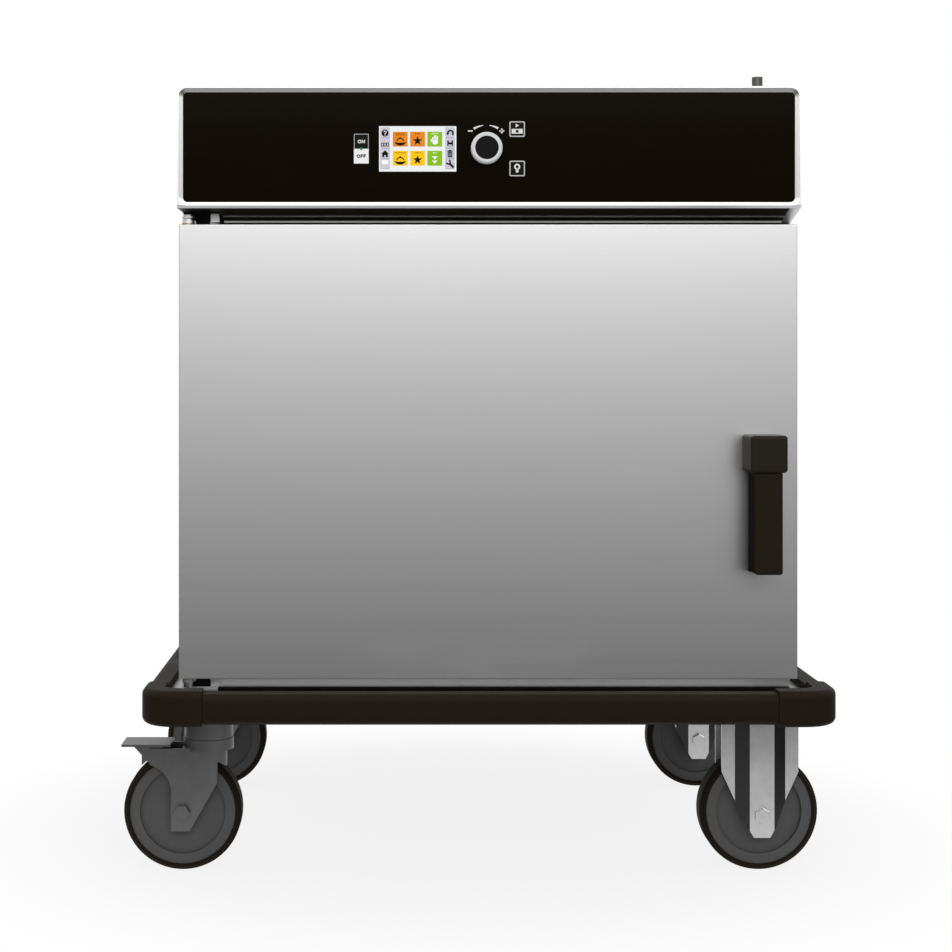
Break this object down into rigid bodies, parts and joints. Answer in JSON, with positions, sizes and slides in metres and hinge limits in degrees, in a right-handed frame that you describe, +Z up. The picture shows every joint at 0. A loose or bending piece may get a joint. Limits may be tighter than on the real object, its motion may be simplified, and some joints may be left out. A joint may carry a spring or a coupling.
{
  "type": "food regeneration trolley",
  "caption": "Insulated stainless regeneration oven cabinet with a hinged door, lever handle and black control panel, on a bumpered base with swivel and fixed casters.",
  "frame": {"origin": "on the floor under the middle of the overall outline", "axes": "+X to the right as seen from the door, +Y to the back, +Z up; the door faces -Y"},
  "size_m": [0.944, 0.8846, 1.067],
  "materials": {
    "stainless": "brushed",
    "hinge_steel": "bright satin",
    "vent_steel": "heat darkened",
    "zinc": "zinc plated",
    "frame_paint": "satin powder coat",
    "bumper_black": "satin",
    "wheel_grey": "moulded",
    "tyre_black": "matte",
    "handle_black": "satin",
    "bush_bronze": "oiled",
    "wool": "mineral wool",
    "seal": "silicone",
    "magnet": "ferrite in a steel cup",
    "panel_black": "black glass",
    "screen": "lit screen",
    "knob_grey": "satin",
    "rocker_black": "gloss",
    "key_black": "gloss",
    "board_green": "solder mask"
  },
  "bodies": {
    "trolley": {"base_frame": "frame_paint", "base_deck": "stainless", "front_bumper": "bumper_black", "rear_bumper": "bumper_black", "left_bumper": "bumper_black", "right_bumper": "bumper_black", "bumper_corners": "bumper_black", "front_left_caster_plate": "zinc", "front_right_fork": "zinc", "rear_left_caster_plate": "zinc", "rear_right_fork": "zinc", "right_axles": "hinge_steel", "left_side_panel": "stainless", "right_side_panel": "stainless", "top_panel": "stainless", "bottom_panel": "stainless", "back_panel": "stainless", "front_frame": "stainless", "inner_chamber": "stainless", "insulation": "wool", "door_gasket": "seal", "left_tray_rack": "stainless", "right_tray_rack": "stainless", "fan_baffle": "stainless", "fan_motor": "frame_paint", "heating_element": "vent_steel", "vent_pipe": "vent_steel", "power_inlet": "handle_black", "door_hinges": "hinge_steel", "magnet_catch": "magnet", "panel_bezel": "stainless", "panel_glass": "panel_black", "display_screen": "screen", "control_board": "board_green"},
    "door": {"door_outer_skin": "stainless", "door_inner_pan": "stainless", "door_insulation": "wool", "hinge_bushes": "bush_bronze", "handle_head": "handle_black", "strike_plate": "hinge_steel"},
    "lever": {"handle_lever": "handle_black"},
    "knob": {"control_knob": "knob_grey"},
    "rocker": {"on_off_rocker": "rocker_black"},
    "start_key": {"start_stop_key": "key_black"},
    "lamp_key": {"light_key": "key_black"},
    "fan": {"fan_wheel": "stainless"},
    "front_left_swivel": {"front_left_fork": "zinc", "front_left_axle": "hinge_steel"},
    "front_left_roller": {"front_left_wheel": "wheel_grey", "front_left_tyre": "tyre_black"},
    "front_right_roller": {"front_right_wheel": "wheel_grey", "front_right_tyre": "tyre_black"},
    "front_left_brake": {"front_left_brake_pedal": "zinc"},
    "rear_left_swivel": {"rear_left_fork": "zinc", "rear_left_axle": "hinge_steel"},
    "rear_left_roller": {"rear_left_wheel": "wheel_grey", "rear_left_tyre": "tyre_black"},
    "rear_right_roller": {"rear_right_wheel": "wheel_grey", "rear_right_tyre": "tyre_black"},
    "rear_left_brake": {"rear_left_brake_pedal": "zinc"}
  },
  "joints": [
    {"name": "door_swing", "type": "hinge", "parent": "trolley", "child": "door", "pos_m": [-0.36675, -0.37025, 0.573], "axis": [0, 0, -1], "range_deg": [0, 170]},
    {"name": "lever_pull", "type": "hinge", "parent": "door", "child": "lever", "pos_m": [0.36575, -0.39475, 0.4837], "axis": [0, 0, -1], "range_deg": [0, 28], "stiffness_Nm_per_rad": 0.6},
    {"name": "knob_turn", "type": "hinge", "parent": "trolley", "child": "knob", "pos_m": [0.01885, -0.40375, 0.962], "axis": [0, -1, 0], "continuous": true},
    {"name": "rocker_tip", "type": "hinge", "parent": "trolley", "child": "rocker", "pos_m": [-0.14145, -0.39475, 0.962], "axis": [1, 0, 0], "range_deg": [-5, 5]},
    {"name": "start_press", "type": "slide", "parent": "trolley", "child": "start_key", "axis": [0, 1, 0], "range_m": [0, 0.0012], "stiffness_N_per_m": 400},
    {"name": "lamp_press", "type": "slide", "parent": "trolley", "child": "lamp_key", "axis": [0, 1, 0], "range_m": [0, 0.0012], "stiffness_N_per_m": 400},
    {"name": "fan_spin", "type": "hinge", "parent": "trolley", "child": "fan", "pos_m": [0.02225, 0.25075, 0.571], "axis": [0, 1, 0], "continuous": true},
    {"name": "front_left_steer", "type": "hinge", "parent": "trolley", "child": "front_left_swivel", "pos_m": [-0.35175, -0.24925, 0.166], "axis": [0, 0, 1], "continuous": true},
    {"name": "front_left_roll", "type": "hinge", "parent": "front_left_swivel", "child": "front_left_roller", "pos_m": [-0.38575, -0.24925, 0.08], "axis": [0, 1, 0], "continuous": true},
    {"name": "front_right_roll", "type": "hinge", "parent": "trolley", "child": "front_right_roller", "pos_m": [0.39625, -0.24925, 0.08], "axis": [0, 1, 0], "continuous": true},
    {"name": "front_left_brake_press", "type": "hinge", "parent": "front_left_swivel", "child": "front_left_brake", "pos_m": [-0.41975, -0.24925, 0.158], "axis": [0, -1, 0], "range_deg": [0, 6]},
    {"name": "rear_left_steer", "type": "hinge", "parent": "trolley", "child": "rear_left_swivel", "pos_m": [-0.35175, 0.25075, 0.166], "axis": [0, 0, 1], "continuous": true},
    {"name": "rear_left_roll", "type": "hinge", "parent": "rear_left_swivel", "child": "rear_left_roller", "pos_m": [-0.38575, 0.25075, 0.08], "axis": [0, 1, 0], "continuous": true},
    {"name": "rear_right_roll", "type": "hinge", "parent": "trolley", "child": "rear_right_roller", "pos_m": [0.39625, 0.25075, 0.08], "axis": [0, 1, 0], "continuous": true},
    {"name": "rear_left_brake_press", "type": "hinge", "parent": "rear_left_swivel", "child": "rear_left_brake", "pos_m": [-0.41975, 0.25075, 0.158], "axis": [0, -1, 0], "range_deg": [0, 6]}
  ]
}
